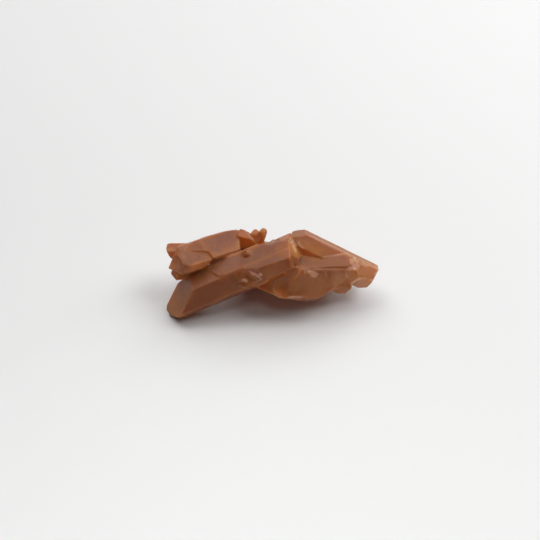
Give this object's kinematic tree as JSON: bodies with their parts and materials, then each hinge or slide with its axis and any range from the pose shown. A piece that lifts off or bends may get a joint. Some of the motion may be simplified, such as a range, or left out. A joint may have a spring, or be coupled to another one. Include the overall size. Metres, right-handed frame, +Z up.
{
  "type": "crystal cluster",
  "caption": "Free-standing cluster of intergrown translucent orange quartz points, with stepped prism faces, small side crystals and chipped broken ends.",
  "frame": {"origin": "centre of the bounding box's footprint, on the plane the cluster rests on", "axes": "+X along the cluster's length, towards the broken end of the long blade, away from the two large points; +Y towards the back, where the small points fan out; +Z up"},
  "size_m": [0.0606, 0.0272, 0.0217],
  "materials": {
    "tangerine_quartz": "cloudy translucent orange crystal with a waxy, slightly frosted skin"
  },
  "bodies": {
    "root": {"tangerine_quartz_cluster": "tangerine_quartz"}
  },
  "joints": []
}
